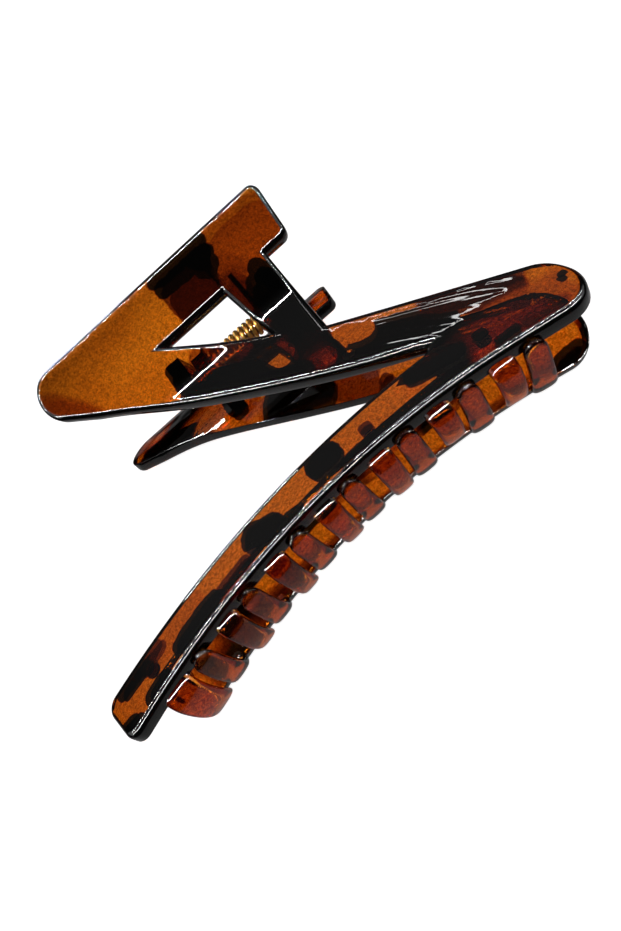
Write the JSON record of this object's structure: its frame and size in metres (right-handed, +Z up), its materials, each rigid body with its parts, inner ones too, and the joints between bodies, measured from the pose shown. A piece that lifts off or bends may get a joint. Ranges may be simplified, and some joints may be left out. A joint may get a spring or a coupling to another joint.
{
  "type": "claw hair clip",
  "caption": "Zigzag claw hair clip: two hinged tortoiseshell plastic jaws with interlocking curved teeth and a coil spring on a pin.",
  "frame": {"origin": "middle of the box on the surface that the clip lies on", "axes": "+Z up from the surface, through the back jaw below to the front jaw above; +X along the hinge pin to within a degree, from the handle tips to the round apex; +Y from the comb to the handles"},
  "size_m": [0.113, 0.0834, 0.0397],
  "materials": {
    "jaw_front": "polished tortoiseshell plastic, amber with black and brown patches",
    "jaw_back": "polished tortoiseshell plastic, amber with black and brown patches",
    "pin": "drawn steel",
    "spring": "bright brass coloured spring wire"
  },
  "bodies": {
    "back_half": {"back_jaw": "jaw_back", "hinge_pin": "pin", "coil_spring": "spring"},
    "front_half": {"front_jaw": "jaw_front"}
  },
  "joints": [
    {"name": "claw_hinge", "type": "hinge", "parent": "back_half", "child": "front_half", "pos_m": [0.00824, 0.02478, 0.01776], "axis": [-0.9999, 0, 0.0106], "range_deg": [0, 55], "stiffness_Nm_per_rad": 0.12, "springref_deg": -34.38, "deforming": ["coil_spring"]}
  ]
}
